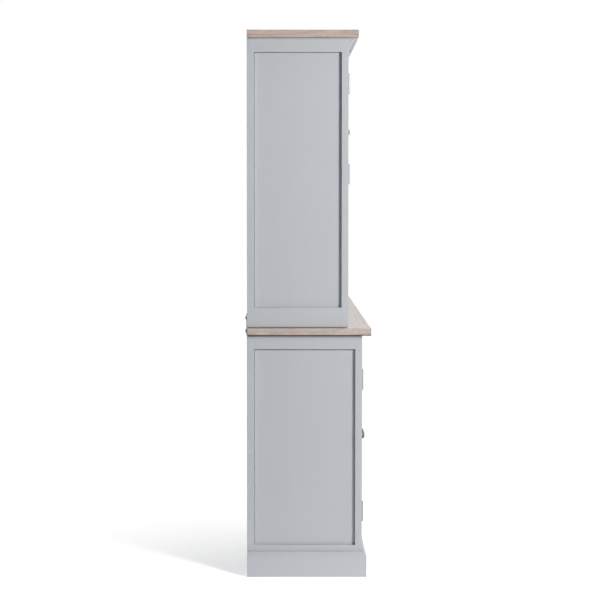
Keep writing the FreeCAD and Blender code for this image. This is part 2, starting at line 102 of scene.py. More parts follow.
class Nodes:
    """The nodes of one material, of the world or of a geometry tree."""

    def __init__(self, owner):
        self.owner = owner
        if not isinstance(owner, bpy.types.NodeTree):
            owner.use_nodes = True
        self.tree = getattr(owner, "node_tree", owner)
        self.tree.nodes.clear()

    def node(self, kind, settings=None, sockets=None, output=0):
        """A node of one kind: its settings first, then the values or links of its sockets."""
        node = self.tree.nodes.new(kind)
        for setting, value in (settings or {}).items():
            if setting == "stops":
                ramp = node.color_ramp.elements
                while len(ramp) < len(value):
                    ramp.new(1.0)
                for stop, (position, colour) in zip(ramp, value):
                    stop.position = position
                    stop.color = (*colour, 1.0)
            else:
                setattr(node, setting, value)
        for socket, value in (sockets or {}).items():
            if isinstance(value, Wire):
                self.tree.links.new(value.socket, node.inputs[socket])
            elif isinstance(value, tuple) and node.inputs[socket].type == "RGBA":
                node.inputs[socket].default_value = (*value, 1.0)
            else:
                node.inputs[socket].default_value = value
        return Wire(self, node.outputs[output]) if node.outputs else None

    def own_place(self):
        """The piece's own coordinates, in metres."""
        return self.node("ShaderNodeTexCoord", output="Object")

    def noted(self, name, output="Fac"):
        """What the mesh notes under a name."""
        return self.node("ShaderNodeAttribute", {"attribute_name": name}, output=output)

    def stretched(self, place, factors):
        """A place multiplied along each axis."""
        return self.node("ShaderNodeVectorMath", {"operation": "MULTIPLY"}, {0: place, 1: factors})

    def mottle(self, place, grains, detail=2.0):
        """Noise from 0 to 1 whose grains number so many to the metre along each axis."""
        drawn = self.stretched(place, grains)
        return self.node("ShaderNodeTexNoise", sockets={"Vector": drawn, "Scale": 1.0, "Detail": detail})

    def band(self, value, low, high):
        """0 below one value and 1 above another, eased between them."""
        return self.node("ShaderNodeMapRange", {"interpolation_type": "SMOOTHSTEP"},
                         {"Value": value, "From Min": low, "From Max": high})

    def mixed(self, share, first, second, way="MIX"):
        """Two colours mixed by a share."""
        factor, colour_a, colour_b, colour_out = 0, 6, 7, 2
        return self.node("ShaderNodeMix", {"data_type": "RGBA", "blend_type": way},
                         {factor: share, colour_a: first, colour_b: second}, output=colour_out)

    def chosen(self, share, first, second):
        """Two vectors mixed by a share."""
        factor, vector_a, vector_b, vector_out = 0, 4, 5, 1
        return self.node("ShaderNodeMix", {"data_type": "VECTOR"},
                         {factor: share, vector_a: first, vector_b: second}, output=vector_out)

    def bump(self, height, depth, strength):
        """A relief of some depth, in metres, for the shader's normal."""
        return self.node("ShaderNodeBump",
                         sockets={"Height": height, "Distance": depth, "Strength": strength})

    def coat(self, sockets):
        """Ends the nodes in one shader and gives back the material."""
        shader = self.node("ShaderNodeBsdfPrincipled", sockets=sockets)
        self.node("ShaderNodeOutputMaterial", sockets={"Surface": shader})
        return self.owner


paint_grey = (0.512, 0.53, 0.556)
wood_under_paint = (0.44, 0.4, 0.35)


def brushed_paint():
    """Pale grey satin paint: brush marks along each board, a slow drift of tone, arrises worn through to the wood
    in places and given a faint painted highlight all along.
    """
    paint = Nodes(bpy.data.materials.new("grey_satin_paint"))
    grain = paint.noted("grain", "Vector")
    arris = paint.noted("arris")
    drift = paint.mottle(paint.own_place(), grains=(2.6, 2.6, 2.6))
    strokes = paint.mottle(grain, grains=(5.0, 340.0, 340.0), detail=3.0)
    pores = paint.mottle(grain, grains=(42.0, 1500.0, 1500.0), detail=1.0)
    knocks = paint.mottle(grain, grains=(38.0, 130.0, 130.0))
    # The arris term lightens every eased edge a little: a painted highlight.
    level = 0.955 + drift * 0.04 + strokes * 0.035 + paint.noted("tone") * 0.012 + arris * 0.02
    worn = paint.band(knocks, 0.6, 0.72) * arris
    colour = paint.mixed(1.0, paint_grey, level, "MULTIPLY")
    colour = paint.mixed(worn * 0.3, colour, wood_under_paint)
    return paint.coat({
        "Base Color": colour,
        "Roughness": 0.4 + strokes * 0.14,
        "Specular IOR Level": 0.35,
        "Normal": paint.bump(strokes * 0.7 + pores * 0.3, depth=0.0004, strength=0.16),
    })


def solids_of(node):
    """The solids of a node, each a closed run of its triangles, as meshes merged to a micrometre."""
    merged_digits = 6
    mesh = frame["nodes"][node].data
    places = [tuple(round(part, merged_digits) for part in vert.co) for vert in mesh.vertices]
    solid, corners, open_edges = bmesh.new(), {}, set()
    for triangle in mesh.polygons:
        outline = [places[index] for index in triangle.vertices]
        for place in outline:
            if place not in corners:
                corners[place] = solid.verts.new(place)
        solid.faces.new([corners[place] for place in outline])
        open_edges ^= {frozenset(edge) for edge in zip(outline, outline[1:] + outline[:1])}
        if not open_edges:
            yield solid
            solid, corners = bmesh.new(), {}


def extent(solid):
    """Lowest and highest corners of a solid."""
    low = Vector([min(vert.co[axis] for vert in solid.verts) for axis in range(3)])
    high = Vector([max(vert.co[axis] for vert in solid.verts) for axis in range(3)])
    return low, high


def arrises(solid, walls):
    """Edges of a solid that lie on two of the walls of a box."""
    near = 1e-5
    sides = {vert: {(axis, end) for axis in range(3) for end in range(2)
                    if abs(vert.co[axis] - walls[end][axis]) < near} for vert in solid.verts}
    return [edge for edge in solid.edges if len(sides[edge.verts[0]] & sides[edge.verts[1]]) > 1]


def rounded(solid, edges, offset):
    """Rounds edges of a solid over and gives back the narrow new faces."""
    return bmesh.ops.bevel(solid, geom=edges, offset=offset, segments=2, profile=0.5,
                           affect="EDGES", clamp_overlap=True)["faces"]


joint_ease = 0.0003


def ease_arrises(solid, walls, ease):
    """Makes flat faces whole and takes the arrises off, least at the joints inside the walls of the
    whole piece; gives back the narrow new faces."""
    flat = math.radians(0.5)
    bmesh.ops.dissolve_limit(solid, angle_limit=flat, verts=solid.verts, edges=solid.edges)
    outer = set(arrises(solid, walls))
    joints = [edge for edge in arrises(solid, extent(solid)) if edge not in outer]
    narrow = rounded(solid, joints, min(joint_ease, ease))
    narrow += rounded(solid, arrises(solid, walls), ease)
    return [face for face in narrow if face.is_valid]


body_of = {node: body for body, nodes in frame["record"]["behaviour"]["bodies"].items() for node in nodes}


def note(mesh, name, kind, domain, values):
    """Writes one value for each point or face of a mesh under a name."""
    held = mesh.attributes.new(name, kind, domain).data
    if kind == "FLOAT_VECTOR":
        held.foreach_set("vector", [part for value in values for part in value])
    else:
        held.foreach_set("value", values)


def set_in(piece, slot, *nodes, body=None):
    """Lets a finished piece ride on its body, in the place of CAD nodes or beside them."""
    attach(piece, body or body_of[nodes[0]])
    if nodes:
        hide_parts(*nodes)


def as_piece(name, mesh, finish):
    """A mesh under a finish, as an object of the scene."""
    mesh.materials.clear()
    mesh.materials.append(finish)
    piece = bpy.data.objects.new(name, mesh)
    bpy.context.scene.collection.objects.link(piece)
    return piece


grain_spread = 9.0


def dress(node, finish, slot, ease):
    """A node's boards with eased arrises, each with its own run of grain and its own tone."""
    chance = random.Random(node)
    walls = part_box(node)
    places, faces, narrow, grain, tone = [], [], [], [], []
    for solid in solids_of(node):
        eased = set(ease_arrises(solid, walls, ease))
        low, high = extent(solid)
        longest_first = sorted(range(3), key=lambda axis: low[axis] - high[axis])
        start = Vector([chance.uniform(0.0, grain_spread) for axis in range(3)])
        shade = chance.random()
        first = len(places)
        solid.verts.index_update()
        for vert in solid.verts:
            places.append(vert.co.copy())
            grain.append(start + Vector([vert.co[axis] for axis in longest_first]))
            tone.append(shade)
        for face in solid.faces:
            faces.append([first + vert.index for vert in face.verts])
            narrow.append(face in eased)
        solid.free()
    mesh = bpy.data.meshes.new(node)
    mesh.from_pydata(places, [], faces)
    mesh.polygons.foreach_set("use_smooth", narrow)
    note(mesh, "grain", "FLOAT_VECTOR", "POINT", grain)
    note(mesh, "tone", "FLOAT", "POINT", tone)
    note(mesh, "arris", "FLOAT", "FACE", [float(flag) for flag in narrow])
    set_in(as_piece("dressed_" + node, mesh, finish), slot, node)


grey_paint = brushed_paint()


def painted(node, ease):
    """A node's boards under the grey paint."""
    dress(node, grey_paint, "grey_paint", ease)


post_ease = 0.0012
for side in ("left", "right"):
    painted(f"base_{side}_frame", post_ease)


# Side panels of the base: flat boards of painted wood that float in the grooves of the side frames,
# set back from the face of the posts.
panel_ease = 0.0006
painted("base_side_panels", panel_ease)


# Face frame of the base: two rails and a centre post, tenoned into each other and into the end
# posts, glued and painted with them.
painted("base_face_frame", post_ease)


# Plinth: three painted boards round the front and the sides, mitred at the front corners, with
# their top edge planed to a slope. They are glued and pinned to the posts.
moulding_ease = 0.001
painted("plinth", moulding_ease)


# Inside of the base: a floor board, a partition behind the centre post, and two shelves that lie
# loose on bearers. All are painted boards with rubbed edges.
board_ease = 0.0008
for node in ("base_floor", "base_partition", "base_bearers", "base_shelves"):
    painted(node, board_ease)


# Back of the base: a row of tongued boards let into rebates of the back posts, each board with a
# chamfer down its joints. Round-headed zinc nails hold them to the floor, the shelf and the top rail.
lining_ease = 0.0004
painted("base_back_boards", lining_ease)


def copies_on_points():
    """Geometry tree that sets a copy of a small piece on every point, faced as the point says."""
    tree = bpy.data.node_groups.new("copies_on_points", "GeometryNodeTree")
    for name, kind in (("Points", "Geometry"), ("Piece", "Object"), ("Size", "Float"),
                       ("Turn", "Float"), ("Seed", "Int"), ("Finish", "Material")):
        tree.interface.new_socket(name, in_out="INPUT", socket_type="NodeSocket" + kind)
    tree.interface.new_socket("Pieces", in_out="OUTPUT", socket_type="NodeSocketGeometry")
    plan = Nodes(tree)
    points = plan.node("NodeGroupInput", output="Points")
    piece = plan.node("GeometryNodeObjectInfo", sockets={"Object": points.other("Piece")},
                      output="Geometry")
    facing = plan.node("GeometryNodeInputNamedAttribute", {"data_type": "FLOAT_VECTOR"},
                       {"Name": "facing"})
    aimed = plan.node("FunctionNodeAlignRotationToVector", {"axis": "Z"}, {"Vector": facing})
    float_low, float_high, float_value = 2, 3, 1
    turn = plan.node("FunctionNodeRandomValue", {"data_type": "FLOAT"},
                     {float_low: 0.0, float_high: points.other("Turn"), "Seed": points.other("Seed")},
                     output=float_value)
    spin = plan.node("FunctionNodeAxisAngleToRotation", sockets={"Axis": (0.0, 0.0, 1.0), "Angle": turn})
    rotation = plan.node("FunctionNodeRotateRotation", {"rotation_space": "LOCAL"},
                         {"Rotation": aimed, "Rotate By": spin})
    copies = plan.node("GeometryNodeInstanceOnPoints", sockets={
        "Points": points, "Instance": piece, "Rotation": rotation, "Scale": points.other("Size")})
    plain = plan.node("GeometryNodeRealizeInstances", sockets={"Geometry": copies})
    finished = plan.node("GeometryNodeSetMaterial",
                         sockets={"Geometry": plain, "Material": points.other("Finish")})
    plan.node("NodeGroupOutput", sockets={"Pieces": finished})
    return tree


set_out_tree = copies_on_points()


def set_out(name, spots, model, finish, turn=0.0, seed=1, size=1.0):
    """Copies of a model, as one plain mesh, on spots that each hold a place and a facing."""
    points = bpy.data.meshes.new(name + "_points")
    points.from_pydata([place for place, facing in spots], [], [])
    note(points, "facing", "FLOAT_VECTOR", "POINT", [facing for place, facing in spots])
    holder = bpy.data.objects.new(name + "_points", points)
    pattern = bpy.data.objects.new(name + "_model", model)
    for thing in (holder, pattern):
        bpy.context.scene.collection.objects.link(thing)
    modifier = holder.modifiers.new("copies", "NODES")
    modifier.node_group = set_out_tree
    inputs = {"Piece": pattern, "Size": size, "Turn": turn, "Seed": seed, "Finish": finish}
    for socket in set_out_tree.interface.items_tree:
        if socket.name in inputs:
            modifier[socket.identifier] = inputs[socket.name]
    evaluated = holder.evaluated_get(bpy.context.evaluated_depsgraph_get())
    mesh = bpy.data.meshes.new_from_object(evaluated)
    holder.modifiers.remove(modifier)
    for thing in (holder, pattern):
        bpy.data.objects.remove(thing)
    return as_piece(name, mesh, finish)


def ring(solid, outline, height):
    """A ring of points at one height over the XY plane."""
    return [solid.verts.new((x, y, height)) for x, y in outline]


def circle(radius, sides):
    """Corners of a regular outline, the first half a step before the X axis."""
    angles = [(step - 0.5) * 2.0 * math.pi / sides for step in range(sides)]
    return [(radius * math.cos(angle), radius * math.sin(angle)) for angle in angles]


def closed(solid, rings):
    """Walls of four-sided faces from each ring to the next, and a face over each end."""
    for lower, upper in zip(rings, rings[1:]):
        for step, corner in enumerate(lower):
            before = step - 1
            solid.faces.new((lower[before], corner, upper[step], upper[before]))
    solid.faces.new(rings[0])
    solid.faces.new(rings[-1])


def as_model(solid, name, crease=40.0):
    """A mesh of a solid that shades smooth up to a crease angle."""
    bmesh.ops.recalc_face_normals(solid, faces=solid.faces)
    mesh = bpy.data.meshes.new(name)
    solid.to_mesh(mesh)
    solid.free()
    mesh.shade_smooth()
    mesh.set_sharp_from_angle(angle=math.radians(crease))
    return mesh


def turned(profile, sides):
    """A solid turned round the Z axis from pairs of radius and height."""
    solid = bmesh.new()
    closed(solid, [ring(solid, circle(radius, sides), height) for radius, height in profile])
    return solid


zinc_grey = (0.27, 0.275, 0.28)
zinc_bloom = (0.4, 0.395, 0.38)


def zinc_plate():
    """Bright zinc with a faint crystal pattern and fine scratches."""
    zinc = Nodes(bpy.data.materials.new("bright_zinc"))
    place = zinc.own_place()
    bloom = zinc.mottle(place, grains=(160.0, 160.0, 160.0), detail=3.0)
    scratches = zinc.mottle(place, grains=(900.0, 120.0, 900.0), detail=1.0)
    return zinc.coat({
        "Base Color": zinc.mixed(bloom, zinc_grey, zinc_bloom),
        "Metallic": 1.0,
        "Roughness": 0.34 + bloom * 0.16,
        "Normal": zinc.bump(scratches, depth=0.0001, strength=0.2),
    })


def extents(node):
    """Lowest and highest corners of each solid of a node."""
    for solid in solids_of(node):
        low, high = extent(solid)
        solid.free()
        yield low, high


def middle(low, high):
    """The place halfway between two corners."""
    return [0.5 * (start + end) for start, end in zip(low, high)]


bright_zinc = zinc_plate()
backward = (0.0, 1.0, 0.0)
nail_radius = 0.0026
nail_rise = 0.0007
nail_margin = 0.024
nail_inset_share = 0.22
nail_shares = ((1.0, -1.0), (1.0, 0.2), (0.8, 0.75), (0.4, 1.0))
nail_profile = [(across, up * nail_rise / nail_radius) for across, up in nail_shares]
nail_head = as_model(turned(nail_profile, sides=10), "nail_head")


def board_nails(node, shelf_height):
    """Two nails through every back board of a node at its foot, its head and a shelf between."""
    spots = []
    for low, high in extents(node):
        inset = nail_inset_share * (high.x - low.x)
        for x in (low.x + inset, high.x - inset):
            for z in (low.z + nail_margin, shelf_height, high.z - nail_margin):
                spots.append(((x, high.y, z), backward))
    nails = set_out(node.replace("boards", "nails"), spots, nail_head, bright_zinc, size=nail_radius)
    set_in(nails, "hinge_metal", body=body_of[node])


board_nails("base_back_boards", middle(*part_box("base_shelves"))[2])


# Worktop: a board of edge-glued oak staves over the base, limed so that white paste fills the pores,
# and waxed to a soft sheen. A lipping of oak closes each end. The edges are rounded over, and a painted
# shadow darkens the lower arris, so that it draws a shadow line over the base.
oak_tones = (
    (0.0, (0.41, 0.325, 0.29)),
    (0.35, (0.49, 0.395, 0.352)),
    (0.7, (0.535, 0.452, 0.408)),
    (1.0, (0.575, 0.5, 0.455)),
)
oak_blush = (0.6, 0.42, 0.345)
oak_honey = (0.58, 0.505, 0.42)
late_wood_brown = (0.33, 0.25, 0.215)
lime_white = (0.7, 0.66, 0.62)
# Dark of the painted shadow on the worktop's lower arris, in place of the shade under its overhang.
painted_shadow_dark = (0.05, 0.04, 0.036)
staves_to_the_metre = 21.0
stave_waver = 0.12
tint_draw = 0.5
cut_draw = 40.5
log_length = 7.0
log_width = 5.0
ring_stretch = (0.07, 1.0, 1.0)
lipping_width = 0.009
lipping_squeeze = 2.2
soft_edge = 0.0002


def limed_oak(name, seed, shade, polish, painted_shadow_below):
    """Staves of differing tint with growth rings and limed pores along the grain, lippings whose
    grain runs across, and a painted shadow that darkens the colour below one height."""
    oak = Nodes(bpy.data.materials.new(name))
    place = oak.own_place()
    along = oak.node("ShaderNodeSeparateXYZ", sockets={"Vector": place})
    depth, height = along.other("Y"), along.other("Z")

    wander = oak.mottle(place, grains=(0.9, 3.0, 3.0))
    stave = oak.node("ShaderNodeMath", {"operation": "FLOOR"},
                     {0: depth * staves_to_the_metre + wander * stave_waver})
    tint, cut = [oak.node("ShaderNodeTexWhiteNoise", {"noise_dimensions": "1D"},
                          {"W": stave + seed + draw}) for draw in (tint_draw, cut_draw)]
    in_stave = oak.node("ShaderNodeCombineXYZ", sockets={
        "X": along + tint * log_length, "Y": depth + cut * log_width, "Z": height})
    in_lipping = oak.node("ShaderNodeCombineXYZ", sockets={
        "X": depth * lipping_squeeze, "Y": along, "Z": height})
    from_middle = oak.node("ShaderNodeMath", {"operation": "ABSOLUTE"}, {0: along})
    lipping_start = cad_bounds[1][0] - lipping_width
    lipping = oak.band(from_middle, lipping_start - soft_edge, lipping_start + soft_edge)
    own = oak.chosen(lipping, in_stave, in_lipping)

    figure = oak.mottle(own, grains=(3.5, 75.0, 75.0), detail=3.0)
    pores = oak.mottle(own, grains=(20.0, 720.0, 720.0), detail=1.0)
    rings = oak.node("ShaderNodeTexWave", {"bands_direction": "Y"}, {
        "Vector": oak.stretched(own, ring_stretch), "Scale": 26.0,
        "Distortion": 9.0, "Detail": 2.0, "Detail Scale": 0.9}, output="Fac")
    drift = oak.mottle(in_lipping, grains=(3.6, 9.0, 1.5), detail=1.0)
    tone = tint * (1.0 - lipping) + (drift * 1.7 - 0.12) * lipping
    colour = oak.node("ShaderNodeValToRGB", {"stops": oak_tones},
                      {"Fac": tone * 0.6 + figure * 0.5 - shade})
    blush = oak.band(oak.mottle(own, grains=(7.0, 20.0, 40.0), detail=1.0), 0.47, 0.63)
    honey = oak.band(oak.mottle(own, grains=(5.3, 16.0, 31.0), detail=1.0), 0.5, 0.66)
    late_wood = oak.band(rings, 0.62, 0.98) * oak.band(figure, 0.3, 0.62)
    limed = oak.band(pores, 0.54, 0.66)
    # Painted shadow: the colour goes dark below one height.
    painted_shadow_share = 1.0 - oak.band(height, painted_shadow_below - soft_edge, painted_shadow_below)
    for share, tinge in ((blush * 0.5, oak_blush), (honey * 0.35, oak_honey),
                         (late_wood * 0.42, late_wood_brown), (limed * 0.46, lime_white),
                         (painted_shadow_share * 0.9, painted_shadow_dark)):
        colour = oak.mixed(share, colour, tinge)
    return oak.coat({
        "Base Color": colour,
        "Roughness": 0.7 - polish + figure * 0.1,
        "Specular IOR Level": polish,
        "Normal": oak.bump(figure * 0.5 + pores * 0.5, depth=0.0004, strength=0.25),
    })


worktop_ease = 0.0025
# Height of the painted shadow along the worktop's lower arris.
painted_shadow_height = 0.0037
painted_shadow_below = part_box("worktop")[0][2] + painted_shadow_height
worktop_oak = limed_oak("limed_oak_worktop", seed=0.0, shade=0.05, polish=0.5, painted_shadow_below=painted_shadow_below)
dress("worktop", worktop_oak, "limed_oak", worktop_ease)


# Side frames, face frame and side panels of the hutch: made as on the base, of the same painted
# hardwood. The bottom rails stand on the worktop and leave an open recess under the cupboards.
for side in ("left", "right"):
    painted(f"hutch_{side}_frame", post_ease)
painted("hutch_face_frame", post_ease)
painted("hutch_side_panels", panel_ease)


# Inside and back of the hutch: floor, partition, shelves on bearers and tongued back boards, all
# painted. The back boards are nailed as on the base.
for node in ("hutch_floor", "hutch_partition", "hutch_bearers", "hutch_shelves"):
    painted(node, board_ease)
painted("hutch_back_boards", lining_ease)
board_nails("hutch_back_boards", middle(*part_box("hutch_floor"))[2])


# Cornice: a coved moulding of painted wood, run in one length and glued into the corner between
# the hutch front and the top board.
painted("cornice", moulding_ease)


# Top board: oak staves and lippings like the worktop's, from darker timber, limed but left without
# its wax and its painted shadow. It lies over the hutch and overhangs the front and the ends.
top_board_ease = 0.0008
top_board_oak = limed_oak("limed_oak_top_board", seed=90.0, shade=0.29, polish=0.1, painted_shadow_below=0.0)
dress("top_board", top_board_oak, "limed_oak", top_board_ease)


# Frames of the eight doors: two stiles and two rails each, painted all over. The base doors hold a
# panel in a groove, the hutch doors a pane behind a rebate with mitred beads.
door_ease = 0.001
door_numbers = range(1, 5)
for number in door_numbers:
    painted(f"base_door_{number}_frame", door_ease)
    painted(f"base_door_{number}_panel", panel_ease)
    painted(f"hutch_door_{number}_frame", door_ease)


# Panes of the hutch doors: clear float glass, 4 mm thick, held by the beads, with a faint green in
# the edges and a very slight waviness in what it mirrors.
pane_tint = (0.94, 0.97, 0.955)


def float_glass():
    """Clear glass with a faint tint and long ripples."""
    glass = Nodes(bpy.data.materials.new("clear_float_glass"))
    ripple = glass.mottle(glass.own_place(), grains=(7.0, 7.0, 7.0))
    return glass.coat({
        "Base Color": pane_tint,
        "Roughness": 0.02,
        "IOR": 1.45,
        "Transmission Weight": 1.0,
        "Normal": glass.bump(ripple, depth=0.001, strength=0.05),
    })


pane_glass = float_glass()
for number in door_numbers:
    pane = frame["nodes"][f"hutch_door_{number}_glass"]
    pane.data.materials.clear()
    pane.data.materials.append(pane_glass)


# Hinges: two butt hinges of satin nickel to each door. A leaf is a plate with its knuckles rolled
# from one edge, let in flush and held by three screws, and a pin runs through the knuckles.
nickel_dark = (0.26, 0.262, 0.26)
nickel_pale = (0.35, 0.352, 0.346)


def satin_nickel():
    """Nickel brushed along the knuckles, a little darker in the brush marks."""
    nickel = Nodes(bpy.data.materials.new("satin_nickel"))
    place = nickel.own_place()
    strokes = nickel.mottle(place, grains=(2600.0, 2600.0, 60.0))
    smears = nickel.mottle(place, grains=(55.0, 55.0, 24.0))
    return nickel.coat({
        "Base Color": nickel.mixed(strokes, nickel_dark, nickel_pale),
        "Metallic": 1.0,
        "Roughness": 0.36 + smears * 0.2,
        "Normal": nickel.bump(strokes, depth=0.0001, strength=0.2),
    })


hinge_nickel = satin_nickel()
joint_of = {joint["child"]: joint for joint in frame["joints"]}
door_gap = 0.0025
leaf_foot, leaf_head = next(extents("base_door_1_hinges"))
hinge_height = leaf_head.z - leaf_foot.z
leaf_thickness = 0.0015
leaf_width = 0.019
leaf_rounding = 0.0002
leaf_crease = math.radians(60.0)
knuckle_radius = 0.0033
knuckle_reach = 0.0036
knuckle_gap = 0.0003
knuckle_count = 3
barrel_steps = 22


def hinge_leaf(name, on_door):
    """Leaf whose plate rolls into every other knuckle, about the axis Z at mid-height."""
    merged_digits = 7
    way = 1.0 if on_door else -1.0
    near = way * door_gap / 2.0
    far = near + way * leaf_thickness
    rear = knuckle_reach + leaf_width
    foot, head = -hinge_height / 2.0, hinge_height / 2.0
    leaf = bmesh.new()
    corners = {}

    def corner(x, y, z):
        key = tuple(round(part, merged_digits) for part in (x, y, z))
        if key not in corners:
            corners[key] = leaf.verts.new((x, y, z))
        return corners[key]

    start = math.acos(far / knuckle_radius)
    end = math.acos(near / knuckle_radius) - way * 2.0 * math.pi
    bend = [start + (end - start) * step / barrel_steps for step in range(barrel_steps + 1)]
    outline = [(far, knuckle_reach)]
    outline += [(knuckle_radius * math.cos(angle), knuckle_radius * math.sin(angle)) for angle in bend]
    outline += [(near, knuckle_reach)]
    pitch = hinge_height / knuckle_count
    levels = [foot]
    for knuckle in range(1 if on_door else 0, knuckle_count, 2):
        low = foot + knuckle * pitch + (knuckle_gap / 2.0 if knuckle > 0 else 0.0)
        high = foot + (knuckle + 1) * pitch - (knuckle_gap / 2.0 if knuckle < knuckle_count - 1 else 0.0)
        rings = [[corner(x, y, z) for x, y in outline] for z in (low, high)]
        for step in range(len(outline) - 1):
            leaf.faces.new((rings[0][step], rings[0][step + 1], rings[1][step + 1], rings[1][step]))
        for end_ring in rings:
            leaf.faces.new(end_ring)
        levels += [low, high]
    levels.append(head)
    for low, high in zip(levels[0::2], levels[1::2]):
        if high - low > knuckle_gap:
            between = ((near, low), (far, low), (far, high), (near, high))
            leaf.faces.new([corner(x, knuckle_reach, z) for x, z in between])
    front_levels = sorted({round(z, merged_digits) for z in levels})
    for x in (near, far):
        leaf.faces.new([corner(x, knuckle_reach, z) for z in front_levels]
                       + [corner(x, rear, head), corner(x, rear, foot)])
    plan = ((near, knuckle_reach), (far, knuckle_reach), (far, rear), (near, rear))
    for z in (foot, head):
        leaf.faces.new([corner(x, y, z) for x, y in plan])
    back_edge = ((near, foot), (far, foot), (far, head), (near, head))
    leaf.faces.new([corner(x, rear, z) for x, z in back_edge])
    bmesh.ops.recalc_face_normals(leaf, faces=leaf.faces)
    sharp = [edge for edge in leaf.edges if edge.calc_face_angle(0.0) > leaf_crease]
    bmesh.ops.bevel(leaf, geom=sharp, offset=leaf_rounding, segments=1, affect="EDGES", clamp_overlap=True)
    return as_model(leaf, name)


screw_sides = 12
screw_dome_shares = ((1.0, 0.0), (1.0, 0.3), (0.88, 0.75), (0.62, 1.0))
recess_arm_share = 0.5
recess_half_arm_share = 0.13
recess_depth_share = 0.8
recess_taper = 0.8


def cross_screw(name, radius, rise, shank_radius, shank_length):
    """Screw with a domed head over Z = 0, a cross recess in it and a plain shank below."""
    arm, half_arm = recess_arm_share * radius, recess_half_arm_share * radius
    cross = []
    for quarter in range(4):
        turn = Matrix.Rotation(quarter * math.pi / 2.0, 2)
        for point in ((arm, -half_arm), (arm, half_arm), (half_arm, half_arm)):
            cross.append(tuple(turn @ Vector(point)))
    rounds = [(shank_radius, -shank_length), (shank_radius, 0.0)]
    rounds += [(across * radius, up * rise) for across, up in screw_dome_shares]
    screw = bmesh.new()
    rings = [ring(screw, circle(across, screw_sides), height) for across, height in rounds]
    rings.append(ring(screw, cross, rise))
    recess_floor = [(recess_taper * x, recess_taper * y) for x, y in cross]
    rings.append(ring(screw, recess_floor, rise - recess_depth_share * rise))
    closed(screw, rings)
    return as_model(screw, name, crease=50.0)


door_leaf = hinge_leaf("door_leaf", on_door=True)
frame_leaf = hinge_leaf("frame_leaf", on_door=False)
pin_radius = 0.0015
pin_dome = 0.0006
pin_end_shares = ((0.45, 1.0), (0.85, 0.6), (1.0, 0.0))
pin_end = [(across * pin_radius, hinge_height / 2.0 + up * pin_dome) for across, up in pin_end_shares]
pin_profile = [(radius, -height) for radius, height in pin_end] + pin_end[::-1]
hinge_pin = as_model(turned(pin_profile, sides=16), "hinge_pin")
hinge_screw_places = ((0.16, 0.38), (0.5, 0.66), (0.84, 0.38))
hinge_screw = cross_screw("hinge_screw", radius=0.0027, rise=0.0006, shank_radius=0.00108,
                          shank_length=leaf_thickness)
frame_leaves, pins, frame_screws = [], [], []
for door in sorted(joint_of):
    axis = Vector(joint_of[door]["pos_m"])
    toward = math.copysign(1.0, middle(*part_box(door + "_frame"))[0] - axis.x)
    door_leaves, door_screws = [], []
    for low, high in extents(door + "_hinges"):
        spot = ((axis.x, axis.y, middle(low, high)[2]), (0.0, 0.0, toward))
        for spots in (door_leaves, frame_leaves, pins):
            spots.append(spot)
        for height_share, width_share in hinge_screw_places:
            y = axis.y + knuckle_reach + width_share * leaf_width
            z = low.z + height_share * hinge_height
            for spots, way in ((door_screws, toward), (frame_screws, -toward)):
                spots.append(((axis.x + way * door_gap / 2.0, y, z), (-way, 0.0, 0.0)))
    leaves = set_out(door + "_hinge_leaves", door_leaves, door_leaf, hinge_nickel)
    set_in(leaves, "hinge_metal", door + "_hinges")
    screws = set_out(door + "_hinge_screws", door_screws, hinge_screw, bright_zinc, turn=math.pi, seed=3)
    set_in(screws, "hinge_metal", body=door)
leaves = set_out("frame_hinge_leaves", frame_leaves, frame_leaf, hinge_nickel)
set_in(leaves, "hinge_metal", "hinge_leaves")
set_in(set_out("domed_hinge_pins", pins, hinge_pin, hinge_nickel), "hinge_metal", "hinge_pins")
screws = set_out("frame_hinge_screws", frame_screws, hinge_screw, bright_zinc, turn=math.pi, seed=4)
set_in(screws, "hinge_metal", body=body_of["hinge_leaves"])


# Knobs: turned metal with a foot, a thin neck and a domed head, blackened, and rubbed bright where
# fingers hold the rim. A screw from the back of the stile holds each one.
pewter_dark = (0.03, 0.028, 0.026)
pewter_grey = (0.06, 0.056, 0.052)
pewter_rubbed = (0.2, 0.19, 0.175)


def blackened_metal():
    """Dark pewter, paler and smoother where the mesh notes wear."""
    metal = Nodes(bpy.data.materials.new("blackened_knob"))
    place = metal.own_place()
    cloud = metal.mottle(place, grains=(95.0, 95.0, 95.0), detail=3.0)
    grit = metal.mottle(place, grains=(900.0, 900.0, 900.0))
    rubbed = metal.noted("rubbed") * metal.band(cloud, 0.3, 0.62)
    dark = metal.mixed(cloud, pewter_dark, pewter_grey)
    return metal.coat({
        "Base Color": metal.mixed(rubbed * 0.55, dark, pewter_rubbed),
        "Metallic": 0.9,
        "Roughness": 0.46 - rubbed * 0.16 + grit * 0.08,
        "Normal": metal.bump(grit, depth=0.0001, strength=0.2),
    })


